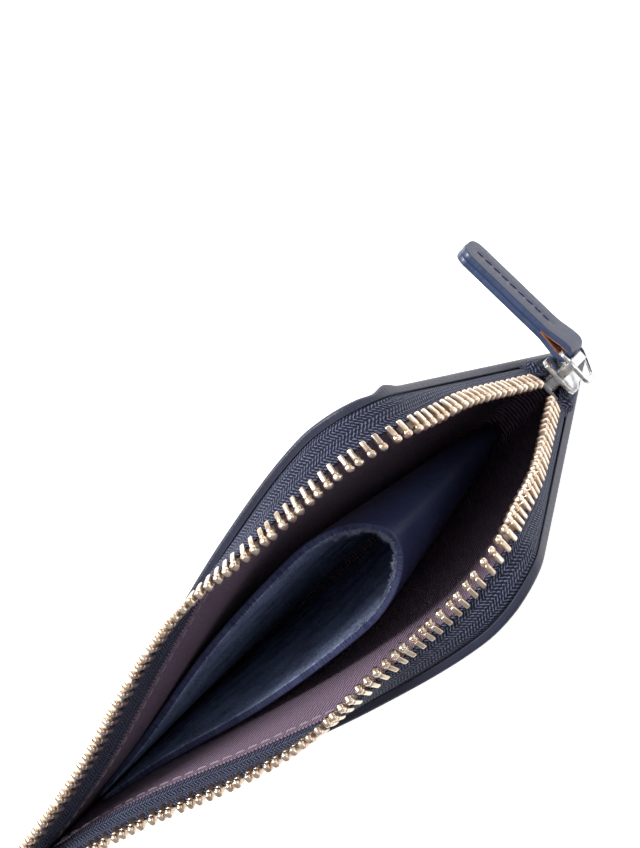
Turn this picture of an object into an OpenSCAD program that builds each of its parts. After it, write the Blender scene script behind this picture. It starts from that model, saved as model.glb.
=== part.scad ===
// Landscape zip pouch for a passport, standing on its base with the mouth open.
// +Z points up out of the mouth, +X runs along the long side towards the zip slider,
// +Y points to the back panel. The origin is the centre of the base.

/* [Pouch] */
// Distance from the centre line to the sewn left edge
left_x = 70; // [66:1:74]
// Distance from the centre line to the zip side of the leather
right_x = 68; // [64:1:72]
// Height of the leather panels
panel_h = 98; // [94:1:102]
// Radius of the outer top corner on the zip side
corner_r = 10; // [8:1:12]
// Half width of the flat base
foot_half = 5; // [4.5:0.1:5.5]
// Thickness of the outer leather
leather_t = 1.2; // [1:0.1:1.3]
// Thickness of the lining
lining_t = 0.4; // [0.3:0.05:0.45]

/* [Inner sleeve] */
// Height of the sleeve's rim above the base
sleeve_top = 78; // [74:1:82]
// Thickness of the sleeve leather
sleeve_t = 1.8; // [1.4:0.1:1.9]
// Where the sleeve's rounded fold ends
sleeve_x = 40; // [36:1:42]

/* [Zip] */
// Width of tape that shows beyond the leather
tape_w = 7.4; // [7:0.1:7.8]
// Thickness of the tape
tape_t = 0.5; // [0.4:0.05:0.6]
// Distance from one tooth to the next
tooth_pitch = 2.55; // [2.5:0.05:2.7]
// Thickness of a tooth through the tape
tooth_t = 2.4; // [2.2:0.1:2.6]
// Height of the slider's wide end above the base
slider_top = 33; // [32.5:0.1:33.5]

/* [Pull] */
// Inner height of the ring, which takes the tab
ring_in = 9.4; // [9.3:0.1:9.7]
// Diameter of the ring's wire
ring_wire = 1.2; // [1.1:0.05:1.3]
// Width of the leather tab
tab_w = 8.8; // [8:0.1:9]
// Length of the tab from the ring to its round end
tab_len = 32; // [30:1:36]
// Thickness of one layer of the tab
tab_t = 1.6; // [1.4:0.05:1.65]

/* [Hidden] */

gap = 0.1;                 // air between the two halves where they are sewn together
lining_depth = leather_t + 0.25;  // from the outside of the leather to the lining
lining_edge = 2;           // how far the lining stops short of the leather's zip edge
lining_seam = 5;           // how far it stops short of the sewn left edge
seam_half = leather_t + gap;  // half thickness of the pouch at its sewn edges
row_n = 14;                // rows of a panel's wall
col_n = 26;                // columns of a panel
step = 4;                  // spacing of the stations along the mouth
tooth_in = 5.6;            // where a tooth starts, from the leather edge
tooth_out = 10.5;          // where a tooth ends
chain_w = 9.3;             // the line of the chain, from the leather edge

// How far the leather opens, as half widths along its top edge
open_half = [[-left_x, seam_half], [-40, 6.5], [-10, 15], [20, 22.5], [50, 27], [right_x, 24.8]];
// Angle of the tape along the mouth: 90 carries on from the panel, 0 lies across the mouth
tape_angle = [[0, 108], [40, 105], [75, 92], [110, 35], [140, 2], [160, 20], [185, 20], [212, 22]];
// Half widths of the sleeve's rim, up to its rounded fold
sleeve_half = [[-60, 0.6], [-40, 3.2], [-12, 8.2], [12, 10.2], [40, 10.2]];

// Smooth curve through the points of a table, by cubic pieces
function slope_at(t, i) = let (a = max(i - 1, 0), b = min(i + 1, len(t) - 1))
    (t[b][1] - t[a][1]) / (t[b][0] - t[a][0]);
function piece(t, x) = max([0, for (i = [0:len(t) - 2]) if (x >= t[i][0]) i]);
function smooth(x, t) = let (i = piece(t, x), w = t[i + 1][0] - t[i][0],
    u = min(max((x - t[i][0]) / w, 0), 1), a = t[i][1], b = t[i + 1][1])
    a * (1 + 2 * u) * pow(1 - u, 2) + b * u * u * (3 - 2 * u)
    + w * (slope_at(t, i) * u * pow(1 - u, 2) - slope_at(t, i + 1) * u * u * (1 - u));

function unit(v) = v / norm(v);
function share(x) = min(max((x + left_x) / (left_x + right_x), 0), 1);

// Half width of the base, which narrows to the sewn edges at both ends
function foot(x) = seam_half + (foot_half - seam_half) * (1 - pow(2 * share(x) - 1, 8));
// How far up its opening a point of the panel is, from 0 at the base to 1 at the mouth
function rise(x, z) = let (start = 4 * pow(share(x), 6))
    pow(max(z - start, 0) / (panel_h - start), 0.72 + 0.28 * pow(share(x), 3));
// Half width of the pouch at any point, to the outside of the leather
function half(x, z) = foot(x) + (smooth(x, open_half) - foot(x)) * rise(x, z);

// Path of the leather edge round the mouth: [x, z, outward x, outward z] at length s
top_len = right_x - corner_r + left_x;
turn_len = corner_r * PI / 2;
function edge(s) = s < top_len ? [s - left_x, panel_h, 0, 1]
    : s < top_len + turn_len ? let (a = (s - top_len) / corner_r * 180 / PI)
        [right_x - corner_r + corner_r * sin(a), panel_h - corner_r + corner_r * cos(a), sin(a), cos(a)]
    : [right_x, panel_h - corner_r - (s - top_len - turn_len), 1, 0];
// How much of the tape is tucked in behind the leather towards the slider
function tuck(s) = 2.5 * smooth(s, [[120, 0], [135, 0.15], [165, 0.85], [185, 1], [230, 1]]);
// A point of the back half's tape, at length s and at distance w across it
function mouth(s, w) = let (e = edge(s), a = smooth(s, tape_angle), r = w - tuck(s))
    [e[0] + e[2] * r * sin(a), half(e[0], e[1]) - leather_t - r * cos(a), e[1] + e[3] * r * sin(a)];
// Directions at a station: along the mouth, across the tape, through the tape
function along(s) = unit(mouth(s + 0.5, chain_w) - mouth(s - 0.5, chain_w));
function across(s) = unit(mouth(s, chain_w) - mouth(s, 0));
function through(s) = unit(cross(along(s), across(s)));

// Closed solid between two grids of points of the same size
module thick_sheet(outer, inner) {
    m = len(outer) - 1;
    n = len(outer[0]) - 1;
    w = n + 1;
    all = (m + 1) * w;
    function at(j, i) = j * w + i;
    function quad_faces(a, b, c, d) = [[a, b, c], [a, c, d]];
    faces = [
        for (j = [0:m - 1], i = [0:n - 1])
            each quad_faces(at(j, i), at(j + 1, i), at(j + 1, i + 1), at(j, i + 1)),
        for (j = [0:m - 1], i = [0:n - 1])
            each quad_faces(all + at(j, i), all + at(j, i + 1), all + at(j + 1, i + 1), all + at(j + 1, i)),
        for (j = [0:m - 1]) each concat(
            quad_faces(at(j, 0), all + at(j, 0), all + at(j + 1, 0), at(j + 1, 0)),
            quad_faces(at(j, n), at(j + 1, n), all + at(j + 1, n), all + at(j, n))),
        for (i = [0:n - 1]) each concat(
            quad_faces(at(0, i), at(0, i + 1), all + at(0, i + 1), all + at(0, i)),
            quad_faces(at(m, i), all + at(m, i), all + at(m, i + 1), at(m, i + 1)))];
    polyhedron([for (row = outer) each row, for (row = inner) each row], faces, convexity = 8);
}

// Right-hand end of a panel's row, which follows the round corner
function row_end(z) = z <= panel_h - corner_r ? right_x
    : right_x - corner_r + sqrt(max(pow(corner_r, 2) - pow(z - panel_h + corner_r, 2), 0));
function row_z(j) = j <= row_n - 4 ? 3 + (panel_h - corner_r - 3) * j / (row_n - 4)
    : panel_h - corner_r + corner_r * sin(22.5 * (j - row_n + 4));
// One skin of the back half, d inside the leather's outer face; the first three rows are the base
function skin(d, seam_in, zip_in) = [for (j = [-3:row_n])
    let (row = row_z(max(j, 0)), z = row * (1 - zip_in / panel_h))
    [for (i = [0:col_n]) let (x = -left_x + seam_in + (row_end(row) - zip_in - seam_in + left_x) * i / col_n)
        j == -3 ? [x, gap, d]
        : j == -2 ? [x, gap + (foot(x) - d - gap) * 0.8, d]
        : j == -1 ? [x, foot(x) - d, d * 0.6 + 1.2]
        : [x, half(x, z) - d, z]]];

module back_half_leather() {
    thick_sheet(skin(0, 0, 0), skin(leather_t, 0, 0));
}
module back_half_lining() {
    thick_sheet(skin(lining_depth, lining_seam, lining_edge),
        skin(lining_depth + lining_t, lining_seam, lining_edge));
}
module back_panel() { color("midnightblue") back_half_leather(); }
module front_panel() { color("midnightblue") mirror([0, 1, 0]) back_half_leather(); }
module back_lining() { color("rosybrown") back_half_lining(); }
module front_lining() { color("rosybrown") mirror([0, 1, 0]) back_half_lining(); }

// The sleeve at t from -1 (front, at the seam) to 1 (back), through its fold at 0
sleeve_low = 2.4;
function fold_share(z) = pow(z / sleeve_top, 0.8);
function sleeve_half_at(x, z) = let (k = fold_share(z), deep = 1 + 9.2 * k, long = 1.2 + 18.8 * k,
    straight = smooth(x, sleeve_half), least = min(1, straight))
    (least + (straight - least) * k) * sqrt(max(1 - pow(max(x - sleeve_x + long, 0) / long, 2), 0));
function sleeve_mid(t, z) = let (x = sleeve_x - (sleeve_x + 60) * pow(t, 2))
    [x, sign(t) * sleeve_half_at(x, z), z];
function sleeve_out(t, z) = unit(cross(sleeve_mid(t + 0.01, z) - sleeve_mid(t - 0.01, z), [0, 0, 1]));
// The leather is skived thinner towards the seam
function sleeve_half_t(t) = sleeve_t / 2 - 0.5 * pow(max(abs(t) - 0.85, 0) / 0.15, 2);
module inner_sleeve() {
    levels = [sleeve_low, 12, 28, 46, 62, sleeve_top];
    turns = [for (k = [-22:22]) k / 22];
    color("slateblue") thick_sheet(
        [for (z = levels) [for (t = turns) sleeve_mid(t, z) + sleeve_out(t, z) * sleeve_half_t(t)]],
        [for (z = levels) [for (t = turns) sleeve_mid(t, z) - sleeve_out(t, z) * sleeve_half_t(t)]]);
}

// A strip along the mouth with a rectangular section, from w0 to w1 across the tape. The part
// that is tucked in behind the leather is left out.
module mouth_strip(from, to, w0, w1, thick) {
    n = ceil((to - from) / step);
    stations = [for (k = [0:n]) from + (to - from) * k / n];
    skins = [for (v = [1, -1]) [for (s = stations)
        [for (w = [max(w0, 0.15 + tuck(s)), w1]) mouth(s, w) + through(s) * v * thick / 2]]];
    thick_sheet(skins[0], skins[1]);
}
zip_start = 3;                                              // first station of the zip
zip_end = top_len + turn_len + panel_h - corner_r - slider_top + 1;  // the slider's wide end
tape_end = zip_end + 12;                                    // the seam runs on past the slider
cord_w = 0.9;

// The end of the tape under the slider, between the leather and the bottom stop
module tape_tail() {
    levels = [slider_low - 0.5, slider_low - 5, slider_low - 9];
    function root(z) = [right_x - 0.4, half(right_x, z) - leather_t - 0.25, z];
    function tip(z) = [slider_x - 1 + (z - slider_low) * 0.15, 0.4, z];
    function out(z) = unit(cross(tip(z) - root(z), [0, 0, 1])) * tape_t / 2;
    thick_sheet([for (z = levels) [root(z) + out(z), tip(z) + out(z)]],
        [for (z = levels) [root(z) - out(z), tip(z) - out(z)]]);
}
module half_tape() {
    mouth_strip(zip_start, zip_end - 3, 0, tape_w - cord_w - 0.05, tape_t);
    tape_tail();
}
module half_cord() { mouth_strip(zip_start, zip_end - 3, tape_w - cord_w, tape_w, 1.1); }
module back_tape() { color("midnightblue") half_tape(); }
module front_tape() { color("midnightblue") mirror([0, 1, 0]) half_tape(); }
module back_tape_cord() { color("darkslateblue") half_cord(); }
module front_tape_cord() { color("darkslateblue") mirror([0, 1, 0]) half_cord(); }

// One tooth, a wedge that is narrower at its head
module tooth(s) {
    a = along(s);
    w = across(s);
    n = through(s);
    root = mouth(s, tooth_in + 1.9);
    tip = mouth(s, tooth_out);
    thick_sheet(
        [for (v = [-1, 1]) [root + a * 0.75 * v + n * tooth_t / 2, tip + a * 0.55 * v + n * tooth_t / 3]],
        [for (v = [-1, 1]) [root + a * 0.75 * v - n * tooth_t / 2, tip + a * 0.55 * v - n * tooth_t / 3]]);
}
module half_teeth(shift) {
    for (s = [zip_start + 5 + shift:tooth_pitch:zip_end - 5]) tooth(s);
}
module back_teeth() { color("wheat") half_teeth(0); }
module front_teeth() { color("wheat") mirror([0, 1, 0]) half_teeth(tooth_pitch / 2); }

module half_top_stop() { mouth_strip(zip_start + 0.6, zip_start + 3.4, tape_w + 0.05, tooth_out, 2.2); }
module back_top_stop() { color("silver") half_top_stop(); }
module front_top_stop() { color("silver") mirror([0, 1, 0]) half_top_stop(); }

// A sewn thread: a thin square strand along the mouth, half sunk in the face it holds
module half_zip_thread() {
    thick_sheet(
        [for (s = [4:step:tape_end]) let (e = edge(s), x = e[0] - 2.4 * e[2], z = e[1] - 2.4 * e[3])
            [for (v = [-0.25, 0.25]) [x + v * e[2], half(x, z) + 0.25, z + v * e[3]]]],
        [for (s = [4:step:tape_end]) let (e = edge(s), x = e[0] - 2.4 * e[2], z = e[1] - 2.4 * e[3])
            [for (v = [-0.25, 0.25]) [x + v * e[2], half(x, z) - 0.25, z + v * e[3]]]]);
}
module half_lining_thread() {
    d = lining_depth + lining_t;
    thick_sheet(
        [for (s = [7:step:tape_end - 4]) let (e = edge(s), x = e[0] - 4 * e[2], z = e[1] - 4 * e[3])
            [for (v = [-0.2, 0.2]) [x + v * e[2], half(x, z) - d + 0.2, z + v * e[3]]]],
        [for (s = [7:step:tape_end - 4]) let (e = edge(s), x = e[0] - 4 * e[2], z = e[1] - 4 * e[3])
            [for (v = [-0.2, 0.2]) [x + v * e[2], half(x, z) - d - 0.2, z + v * e[3]]]]);
}
module back_zip_stitching() { color("navy") half_zip_thread(); }
module front_zip_stitching() { color("navy") mirror([0, 1, 0]) half_zip_thread(); }
module back_lining_stitching() { color("plum") half_lining_thread(); }
module front_lining_stitching() { color("plum") mirror([0, 1, 0]) half_lining_thread(); }

// Stitches of the sewn left side, each through the whole thickness
module side_seam_stitching() {
    for (z = [6:4:panel_h - 6]) let (y = half(-left_x + 2.5, z) + 0.3)
        color("navy") translate([-left_x + 2.5, y, z]) rotate([90, 0, 0]) cylinder(h = 2 * y, d = 0.6, $fn = 16);
}

// Slider: its chain channel lies in the plane x = slider_x
slider_x = 70.8;
slider_len = 10.5;
plate_t = 0.9;
channel = 2.6;
plate_half = 4.8;
slider_low = slider_top - slider_len;
// Outline of a plate in Y and Z: wide at the mouth end, drawn in at the tail
module plate_outline() {
    polygon([[-2.8, 0], [2.8, 0], [3.6, 0.6], [3.9, 4], [plate_half, 6.5], [plate_half, slider_len - 1.2],
        [plate_half - 1.2, slider_len], [1.2 - plate_half, slider_len], [-plate_half, slider_len - 1.2],
        [-plate_half, 6.5], [-3.9, 4], [-3.6, 0.6]]);
}
// Stands a Y-Z outline up as a plate from x0 to x0 + t
module upright(x0, t) {
    translate([x0, 0, slider_low]) rotate([90, 0, 90]) linear_extrude(t) children();
}
module slider_body() {
    color("silver") difference() {
        union() {
            upright(slider_x + channel / 2, plate_t) plate_outline();
            upright(slider_x - channel / 2 - plate_t, plate_t) plate_outline();
            upright(slider_x - channel / 2 - 0.5, channel + 1) translate([-1.1, slider_len - 3.6]) square([2.2, 3]);
            for (v = [-1, 1]) upright(slider_x + channel / 2 - 0.6, 1)
                translate([v * 3.35 - 0.45, 0.4]) square([0.9, 4.2]);
        }
        translate([slider_x + channel / 2 + plate_t - 0.3, -0.9, slider_low + 1.4]) cube([1, 1.8, 0.9]);
    }
}
// Bridge: a flat strap that arches over the outer plate and carries the ring
bridge_x = slider_x + channel / 2 + plate_t;
bridge_w = 1.9;
bridge_h = 4.4;
bridge_low = 5;            // from the bridge's lower end to the window that holds the ring
module slider_bridge() {
    color("silver") translate([bridge_x, bridge_w / 2, slider_low + 1]) rotate([90, 0, 0])
        linear_extrude(bridge_w) difference() {
            union() {
                translate([0.05, 0]) square([bridge_h - 1, 8.6]);
                translate([bridge_h - 1.2, 1.2]) square([1.2, 6.2]);
                for (v = [1.2, 7.4]) translate([bridge_h - 1.2, v]) circle(r = 1.2, $fn = 48);
            }
            translate([-1, bridge_low]) square([bridge_h, 7.6 - bridge_low]);
        }
}

// Ring: a wire link that hangs in the bridge by its upper bar, with its long bar in the tab. Its
// lower leg slants up to the short side.
ring_x = bridge_x + 2.6;
ring_z = slider_low + 1.1 + bridge_low + ring_wire / 2;
ring_len = 8.4;
ring_y0 = -4.9;
ring_y1 = ring_y0 + ring_len;
ring_drop = ring_in + ring_wire;
ring_path = [[ring_y1, -ring_drop], [ring_y1 - 3.2, -ring_drop], [ring_y0, -5.2], [ring_y0, 0]];
module ring_leg(a, b) {
    side = unit([a[1] - b[1], b[0] - a[0]]) * ring_wire / 2;
    polygon([a + side, b + side, b - side, a - side]);
}
module pull_ring() {
    color("silver") translate([ring_x, 0, ring_z]) union() {
        translate([0, ring_y0, 0]) rotate([-90, 0, 0]) cylinder(h = ring_len, d = ring_wire, $fn = 32);
        translate([0, ring_y1, -ring_drop]) cylinder(h = ring_drop, d = ring_wire, $fn = 32);
        translate([0, ring_y1, 0]) sphere(d = ring_wire, $fn = 32);
        translate([-0.45, 0, 0]) rotate([90, 0, 90]) linear_extrude(0.9) {
            for (k = [0:2]) ring_leg(ring_path[k], ring_path[k + 1]);
            for (k = [1:3]) translate(ring_path[k]) circle(d = ring_wire, $fn = 32);
        }
    }
}

// Tab: one strip folded round the ring's far bar and sewn to itself, leaning a little inwards
tab_lean = 3.5;
loop_r = ring_wire / 2 + 0.08;
module tab_place() {
    translate([ring_x, ring_y1, ring_z - ring_drop / 2 - tab_w / 2]) rotate([0, 0, tab_lean]) children();
}
// Profile of the folded strip in the plane across the ring's bar, +Y along the tab
module tab_profile() {
    outer_r = loop_r + tab_t;
    difference() {
        union() {
            circle(r = outer_r, $fn = 64);
            polygon([[-outer_r, 0], [outer_r, 0], [tab_t + 0.05, 7], [tab_t + 0.05, tab_len],
                [-tab_t - 0.05, tab_len], [-tab_t - 0.05, 7]]);
        }
        circle(r = loop_r, $fn = 64);
        polygon([[-loop_r, 0], [loop_r, 0], [0.05, 6], [0.05, tab_len + 1], [-0.05, tab_len + 1], [-0.05, 6]]);
    }
}
// Outline of the tab seen from the side, with its rounded far end
module tab_outline() {
    translate([-4, 0]) square([tab_len + 1, tab_w]);
    translate([tab_len - 4, 3]) square([4, tab_w - 6]);
    for (z = [3, tab_w - 3]) translate([tab_len - 3, z]) circle(r = 3, $fn = 48);
}
module pull_tab() {
    color("midnightblue") tab_place() intersection() {
        linear_extrude(tab_w) tab_profile();
        rotate([90, 0, 90]) translate([0, 0, -5]) linear_extrude(10) tab_outline();
    }
}
module tab_stitching() {
    color("mediumblue") tab_place() for (k = [0:8])
        translate([-tab_t - 0.3, 7 + 2.8 * k, tab_w / 2]) rotate([0, 90, 0])
            cylinder(h = 2 * tab_t + 0.6, d = 0.6, $fn = 16);
}

// Bottom stop: a small clip across both tapes under the slider
module bottom_stop() {
    color("silver") translate([slider_x - 1.3, -2.4, slider_low - 2.6]) cube([2.6, 4.8, 2.2]);
}

back_panel();
front_panel();
back_lining();
front_lining();
inner_sleeve();
back_tape();
front_tape();
back_tape_cord();
front_tape_cord();
back_teeth();
front_teeth();
back_top_stop();
front_top_stop();
bottom_stop();
back_zip_stitching();
front_zip_stitching();
back_lining_stitching();
front_lining_stitching();
side_seam_stitching();
slider_body();
slider_bridge();
pull_ring();
pull_tab();
tab_stitching();
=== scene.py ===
"""Passport pouch: the looks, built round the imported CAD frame.

Shapes are worked out in millimetres and turned into metres when a mesh is made. The curves of the
mouth are the ones that the CAD panels follow, so every piece lands on the solid it stands for.
"""
import math

import bpy
import bmesh
import numpy as np
from mathutils import Matrix, Vector

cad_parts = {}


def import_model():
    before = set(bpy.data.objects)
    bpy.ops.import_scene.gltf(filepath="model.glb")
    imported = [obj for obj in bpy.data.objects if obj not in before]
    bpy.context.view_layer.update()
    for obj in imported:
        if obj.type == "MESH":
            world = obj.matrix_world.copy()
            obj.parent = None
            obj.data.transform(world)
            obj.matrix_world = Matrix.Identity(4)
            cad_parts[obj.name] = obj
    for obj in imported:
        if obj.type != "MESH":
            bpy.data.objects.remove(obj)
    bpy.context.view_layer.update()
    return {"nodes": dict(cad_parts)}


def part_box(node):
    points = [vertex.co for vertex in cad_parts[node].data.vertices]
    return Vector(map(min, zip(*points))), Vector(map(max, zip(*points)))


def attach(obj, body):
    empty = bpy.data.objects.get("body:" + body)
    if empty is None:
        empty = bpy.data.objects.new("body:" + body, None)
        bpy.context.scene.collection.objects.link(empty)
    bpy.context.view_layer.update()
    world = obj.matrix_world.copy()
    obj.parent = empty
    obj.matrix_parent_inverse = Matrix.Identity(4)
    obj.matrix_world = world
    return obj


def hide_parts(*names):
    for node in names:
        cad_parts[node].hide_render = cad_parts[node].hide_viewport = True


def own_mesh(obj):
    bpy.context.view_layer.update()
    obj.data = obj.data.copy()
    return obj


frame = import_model()
rng = np.random.default_rng(7)

MM = 0.001


def box_mm(node):
    """Lowest and highest corner of a CAD node, in millimetres."""
    low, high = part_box(node)
    return np.array(low) / MM, np.array(high) / MM


# ---------------------------------------------------------------- dimensions
PANEL_LOW, PANEL_HIGH = box_mm("back_panel")
LEFT_X, RIGHT_X, PANEL_H = -PANEL_LOW[0], PANEL_HIGH[0], PANEL_HIGH[2]
CORNER_R = 10.0
FOOT_HALF = 5.0
LEATHER_T = 1.2
SEAM_HALF = LEATHER_T + 0.1
LINING_T = 0.4
LINING_DEPTH = LEATHER_T + 0.25
MEET = -0.06                     # where the two halves meet: a slight overlap hides the join
SLEEVE_TOP = box_mm("inner_sleeve")[1][2]
SLEEVE_X = 40.0
SLEEVE_T = 1.8
TAPE_W = 7.4
TAPE_T = 0.5
TOOTH_PITCH = 2.55
TOOTH_OUT = 10.5
CHAIN_W = 9.3
SLIDER_LOW, SLIDER_HIGH = box_mm("slider_body")
ZIP_START = 3.0
FIRST_ROW = 3.0                  # height of a panel's lowest wall row
PRESSED = 3.0                    # how far the pressed-together seam reaches in from an end
LINING_SIDE = 5                  # gap from the lining to the sewn side
LINING_ZIP = 2                   # gap from the lining to the zip edge
TOPSTITCH_IN = 2.9               # from the zip edge to the outer topstitching
LINING_STITCH_IN = 4.0           # from the zip edge to the lining's topstitching
SIDE_STITCH_IN = 2.5             # from the sewn side to its stitching

OPEN_HALF = [(-LEFT_X, SEAM_HALF), (-40, 6.5), (-10, 15), (20, 22.5), (50, 27), (RIGHT_X, 24.8)]
TAPE_ANGLE = [(0, 108), (40, 105), (75, 92), (110, 35), (140, 2), (160, 20), (185, 20), (212, 22)]
TUCK = [(120, 0), (135, 0.15), (165, 0.85), (185, 1), (230, 1)]
SLEEVE_HALF = [(-60, 0.6), (-40, 3.2), (-12, 8.2), (12, 10.2), (40, 10.2)]

TOP_LEN = RIGHT_X - CORNER_R + LEFT_X
TURN_LEN = CORNER_R * math.pi / 2
ZIP_END = TOP_LEN + TURN_LEN + PANEL_H - CORNER_R - SLIDER_HIGH[2] + 1


# ---------------------------------------------------------------- curves
def smooth(x, table):
    """Smooth curve through the points of a table, by cubic pieces."""
    xs, ys = np.array(table, float).T
    last = len(xs) - 1
    slopes = np.array([
        (ys[min(i + 1, last)] - ys[max(i - 1, 0)]) / (xs[min(i + 1, last)] - xs[max(i - 1, 0)])
        for i in range(last + 1)
    ])
    x = np.clip(np.asarray(x, float), xs[0], xs[-1])
    i = np.clip(np.searchsorted(xs, x, side="right") - 1, 0, last - 1)
    width = xs[i + 1] - xs[i]
    u = (x - xs[i]) / width
    ends = ys[i] * (1 + 2 * u) * (1 - u) ** 2 + ys[i + 1] * u * u * (3 - 2 * u)
    return ends + width * (slopes[i] * u * (1 - u) ** 2 - slopes[i + 1] * u * u * (1 - u))


def ease(x, low, high):
    """0 below low, 1 above high, and a smooth step between them."""
    u = np.clip((np.asarray(x, float) - low) / (high - low), 0, 1)
    return u * u * (3 - 2 * u)


def unit(v):
    return v / np.maximum(np.linalg.norm(v, axis=-1, keepdims=True), 1e-9)


def share(x):
    return np.clip((np.asarray(x, float) + LEFT_X) / (LEFT_X + RIGHT_X), 0, 1)


def foot(x):
    return SEAM_HALF + (FOOT_HALF - SEAM_HALF) * (1 - (2 * share(x) - 1) ** 8)


def half(x, z):
    """Half width of the pouch, to the outside of the leather."""
    start = 4 * share(x) ** 6
    rise = (np.maximum(z - start, 0) / (PANEL_H - start)) ** (0.72 + 0.28 * share(x) ** 3)
    return foot(x) + (smooth(x, OPEN_HALF) - foot(x)) * rise


def edge(s):
    """Path of the leather edge round the mouth: x, z and the outward direction in x and z."""
    s = np.asarray(s, float)
    turn = np.clip((s - TOP_LEN) / CORNER_R, 0, math.pi / 2)
    down = np.maximum(s - TOP_LEN - TURN_LEN, 0)
    x = np.where(s < TOP_LEN, s - LEFT_X, RIGHT_X - CORNER_R + CORNER_R * np.sin(turn))
    z = PANEL_H - CORNER_R + CORNER_R * np.cos(turn) - down
    return x, z, np.sin(turn), np.cos(turn)


def tuck(s):
    """How much of the tape is tucked in behind the leather towards the slider."""
    return 2.5 * smooth(s, TUCK)


def mouth(s, w):
    """A point of the back half's tape, at length s along the mouth and w across the tape."""
    s, w = np.broadcast_arrays(np.asarray(s, float), np.asarray(w, float))
    x, z, out_x, out_z = edge(s)
    angle = np.radians(smooth(s, TAPE_ANGLE))
    shown = w - tuck(s)
    reach = shown * np.sin(angle)
    y = half(x, z) - LEATHER_T - shown * np.cos(angle)
    return np.stack([x + out_x * reach, y, z + out_z * reach], -1)


def along(s, w=CHAIN_W):
    return unit(mouth(np.asarray(s) + 0.5, w) - mouth(np.asarray(s) - 0.5, w))


def across(s):
    return unit(mouth(s, CHAIN_W) - mouth(s, 0))


def through(s):
    return unit(np.cross(along(s), across(s)))


def mirrored(points, side):
    return points * np.array([1, side, 1])


# ---------------------------------------------------------------- materials
class Material:
    """A node material, made with a few short calls."""

    def __init__(self, name, roughness=0.5, **sockets):
        self.material = bpy.data.materials.new(name)
        self.material.use_nodes = True
        self.tree = self.material.node_tree
        self.shader = self.tree.nodes["Principled BSDF"]
        self.shader.inputs["Roughness"].default_value = roughness
        for label, value in sockets.items():
            self.shader.inputs[label.replace("_", " ")].default_value = value

    def node(self, kind, links=None, **settings):
        made = self.tree.nodes.new("ShaderNode" + kind)
        for label, value in settings.items():
            if label in made.bl_rna.properties:
                setattr(made, label, value)
            else:
                made.inputs[label.replace("_", " ")].default_value = value
        for socket, source in (links or {}).items():
            self.tree.links.new(source, made.inputs[socket])
        return made

    def coordinates(self):
        """The mesh's own millimetre coordinates: u along the piece and v across it."""
        found = self.node("UVMap", uv_map="mm").outputs["UV"]
        apart = self.node("SeparateXYZ", {"Vector": found})
        return found, apart.outputs["X"], apart.outputs["Y"]

    def math(self, operation, a, b=None):
        made = self.node("Math", operation=operation)
        for socket, value in zip(made.inputs, (a, b)):
            if value is None:
                continue
            if isinstance(value, (int, float)):
                socket.default_value = value
            else:
                self.tree.links.new(value, socket)
        return made.outputs[0]

    def noise(self, vector, scale, detail=3.0, rough=0.55):
        made = self.node("TexNoise", {"Vector": vector}, Scale=scale, Detail=detail, Roughness=rough)
        return made.outputs["Fac"]

    def cells(self, vector, scale, feature="DISTANCE_TO_EDGE"):
        made = self.node("TexVoronoi", {"Vector": vector}, feature=feature, Scale=scale)
        return made.outputs["Distance"]

    def ramp(self, value, *stops):
        """Colours by value; each stop is (position, colour)."""
        made = self.node("ValToRGB", {"Fac": value})
        elements = made.color_ramp.elements
        while len(elements) < len(stops):
            elements.new(0.5)
        for element, (position, colour) in zip(elements, stops):
            element.position = position
            element.color = (*colour, 1)
        return made.outputs["Color"]

    def mix(self, factor, a, b):
        made = self.node("Mix", data_type="RGBA")
        for socket, value in ((made.inputs[0], factor), (made.inputs[6], a), (made.inputs[7], b)):
            if isinstance(value, (int, float)):
                socket.default_value = value
            elif isinstance(value, tuple):
                socket.default_value = (*value, 1)
            else:
                self.tree.links.new(value, socket)
        return made.outputs[2]

    def colour(self, source):
        self.tree.links.new(source, self.shader.inputs["Base Color"])

    def rough(self, source, low, high):
        made = self.node("MapRange", {"Value": source}, To_Min=low, To_Max=high)
        self.tree.links.new(made.outputs[0], self.shader.inputs["Roughness"])

    def bump(self, height, depth_mm):
        made = self.node("Bump", {"Height": height}, Strength=1.0, Distance=depth_mm * MM)
        before = self.shader.inputs["Normal"].links
        if before:
            self.tree.links.new(before[0].from_socket, made.inputs["Normal"])
        self.tree.links.new(made.outputs[0], self.shader.inputs["Normal"])


def leather(name, dark, light, roughness, grain=1.6, grain_depth=0.05, coat=0.08):
    """Smooth dyed leather: fine pebbled grain, pores, soft mottling and rubbed high spots."""
    m = Material(name, roughness, Coat_Weight=coat, Coat_Roughness=0.28)
    place, _, _ = m.coordinates()
    warped = m.node("VectorMath", {0: place}, operation="ADD")
    shift = m.node("TexNoise", {"Vector": place}, Scale=0.35, Detail=2.0)
    m.tree.links.new(shift.outputs["Color"], warped.inputs[1])
    pebble = m.cells(warped.outputs[0], grain)
    pores = m.cells(warped.outputs[0], grain * 2.7, "F1")
    mottle = m.noise(place, 0.09, 4.0, 0.6)
    fine = m.noise(place, 3.0, 2.0)
    shade = m.ramp(mottle, (0.3, dark), (0.72, light))
    m.colour(m.mix(m.math("MULTIPLY", fine, 0.35), shade, light))
    m.rough(m.math("ADD", m.math("MULTIPLY", mottle, 0.6), m.math("MULTIPLY", fine, 0.4)),
            roughness - 0.1, roughness + 0.12)
    m.bump(m.math("MINIMUM", pebble, 0.18), grain_depth * 4)
    m.bump(pores, grain_depth * 0.5)
    m.bump(mottle, 0.25)
    return m.material


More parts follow.
